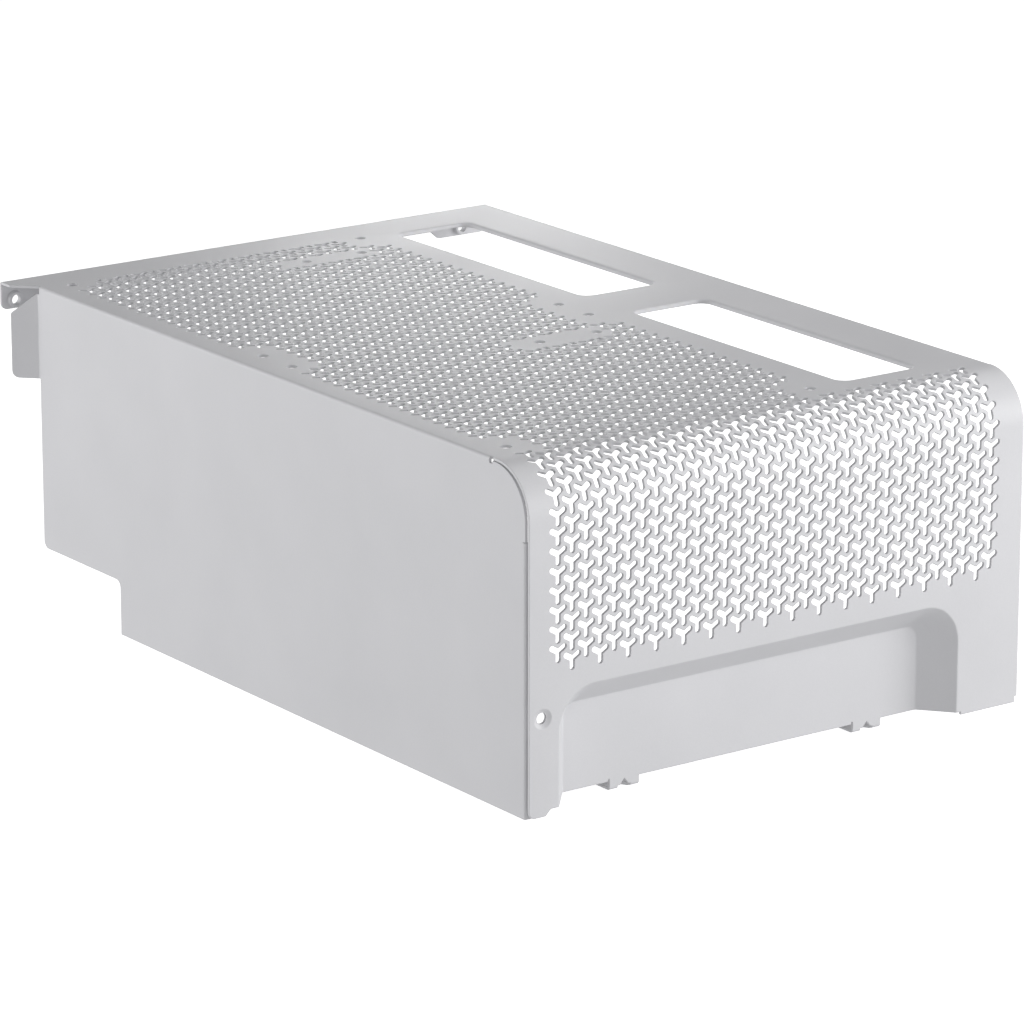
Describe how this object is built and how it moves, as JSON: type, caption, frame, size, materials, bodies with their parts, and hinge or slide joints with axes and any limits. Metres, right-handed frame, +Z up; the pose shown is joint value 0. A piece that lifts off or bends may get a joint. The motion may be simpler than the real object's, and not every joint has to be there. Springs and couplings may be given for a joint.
{
  "type": "power supply shroud",
  "caption": "Folded sheet metal shroud that covers a computer's power supply, with a perforated top and rolled front, fan holes, cable openings and a recess low in the front.",
  "frame": {"origin": "middle of the bounding box at the underside of the hook feet", "axes": "+X to the right across the front, +Y to the rear, +Z up"},
  "size_m": [0.1794, 0.2652, 0.0992],
  "materials": {
    "powder_coat": "satin powder coat"
  },
  "bodies": {
    "root": {"shroud": "powder_coat"}
  },
  "joints": []
}
